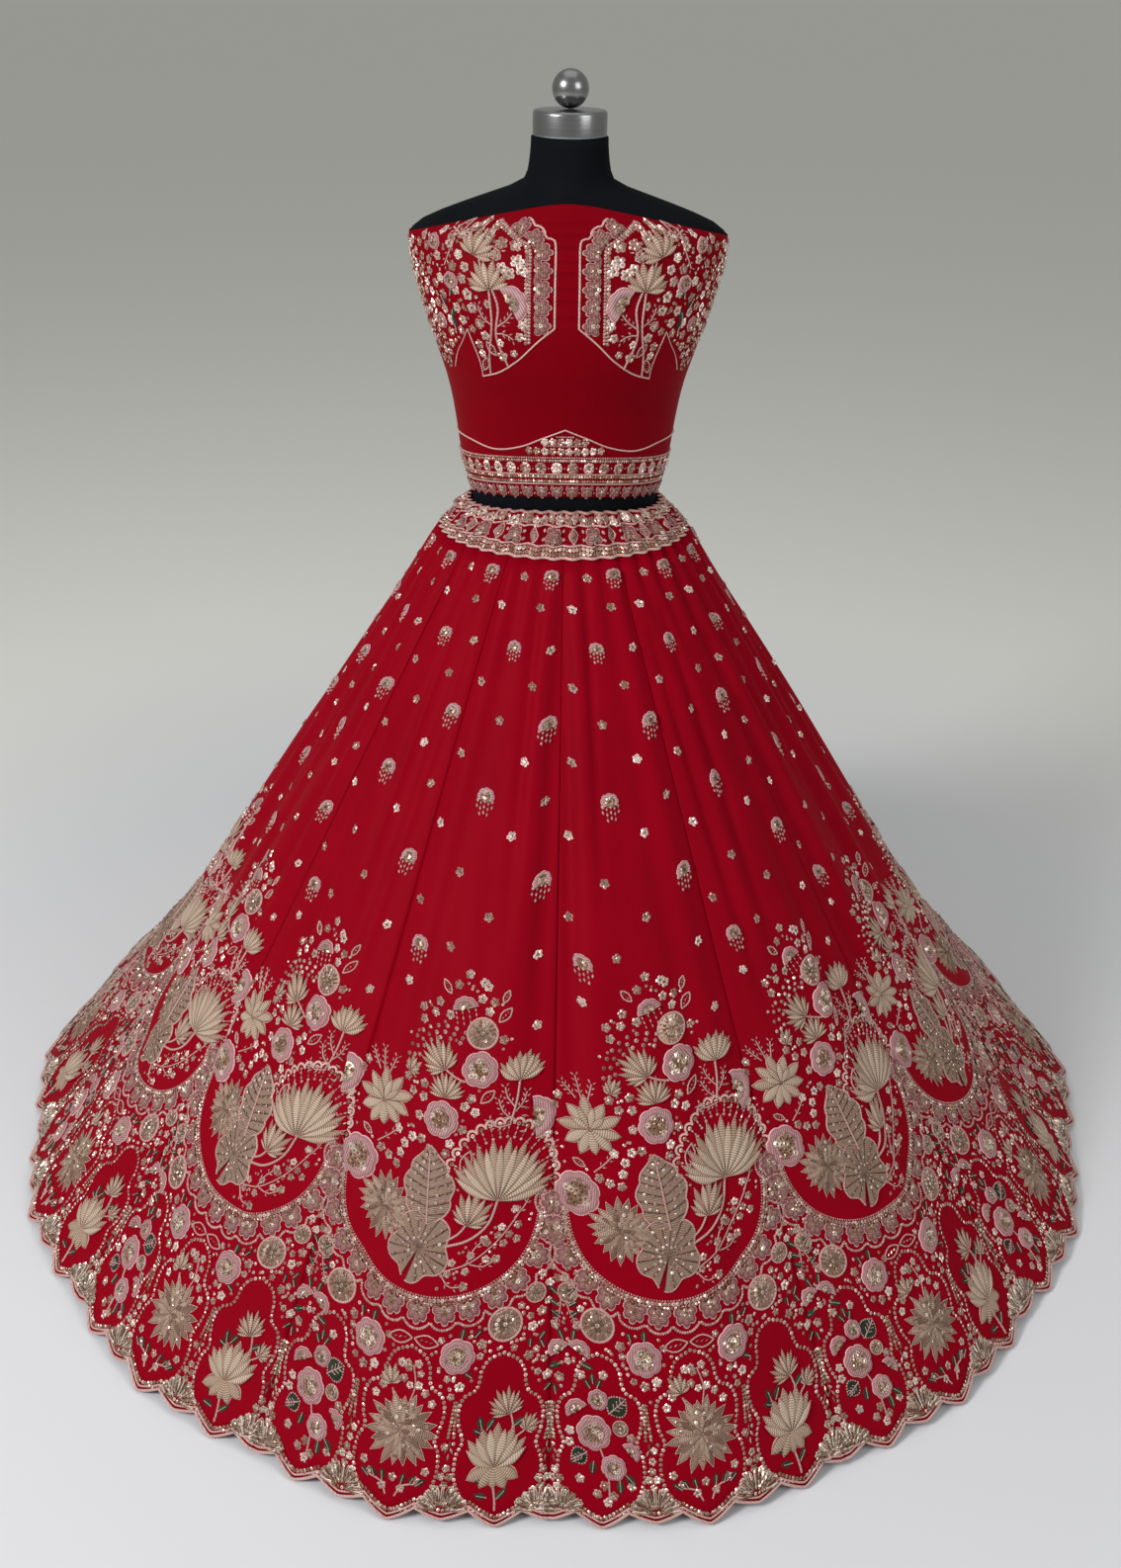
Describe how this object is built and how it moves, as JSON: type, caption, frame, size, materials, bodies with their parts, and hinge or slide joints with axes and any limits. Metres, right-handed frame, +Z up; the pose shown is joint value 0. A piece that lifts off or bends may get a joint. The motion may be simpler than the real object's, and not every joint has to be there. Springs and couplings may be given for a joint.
{
  "type": "lehenga choli on a dress form",
  "caption": "Flared lehenga skirt with scalloped hem and a strapless choli, embroidered in red silk, worn by a limbless dress form on a round base.",
  "frame": {"origin": "on the floor under the dress form's axis, at the middle of the round base", "axes": "+Z up, the front of the garment faces -Y, +X to the viewer's right seen from the front"},
  "size_m": [1.7956, 1.8004, 1.5943],
  "materials": {
    "lehenga_silk": "matte raw silk, embroidered",
    "choli_silk": "matte raw silk, embroidered",
    "waistband_embroidery": "silk covered with sequins",
    "form_cover": "matt stretch jersey",
    "form_metal": "polished",
    "form_stand": "satin black"
  },
  "bodies": {
    "root": {"form_torso": "form_cover", "form_neck_cap": "form_metal", "form_finial": "form_metal", "form_pole": "form_stand", "form_base": "form_stand", "choli_front": "choli_silk", "choli_back": "choli_silk", "lehenga_waistband": "waistband_embroidery", "lehenga_kali_01": "lehenga_silk", "lehenga_kali_02": "lehenga_silk", "lehenga_kali_03": "lehenga_silk", "lehenga_kali_04": "lehenga_silk", "lehenga_kali_05": "lehenga_silk", "lehenga_kali_06": "lehenga_silk", "lehenga_kali_07": "lehenga_silk", "lehenga_kali_08": "lehenga_silk", "lehenga_kali_09": "lehenga_silk", "lehenga_kali_10": "lehenga_silk", "lehenga_kali_11": "lehenga_silk", "lehenga_kali_12": "lehenga_silk", "lehenga_kali_13": "lehenga_silk", "lehenga_kali_14": "lehenga_silk"}
  },
  "joints": []
}
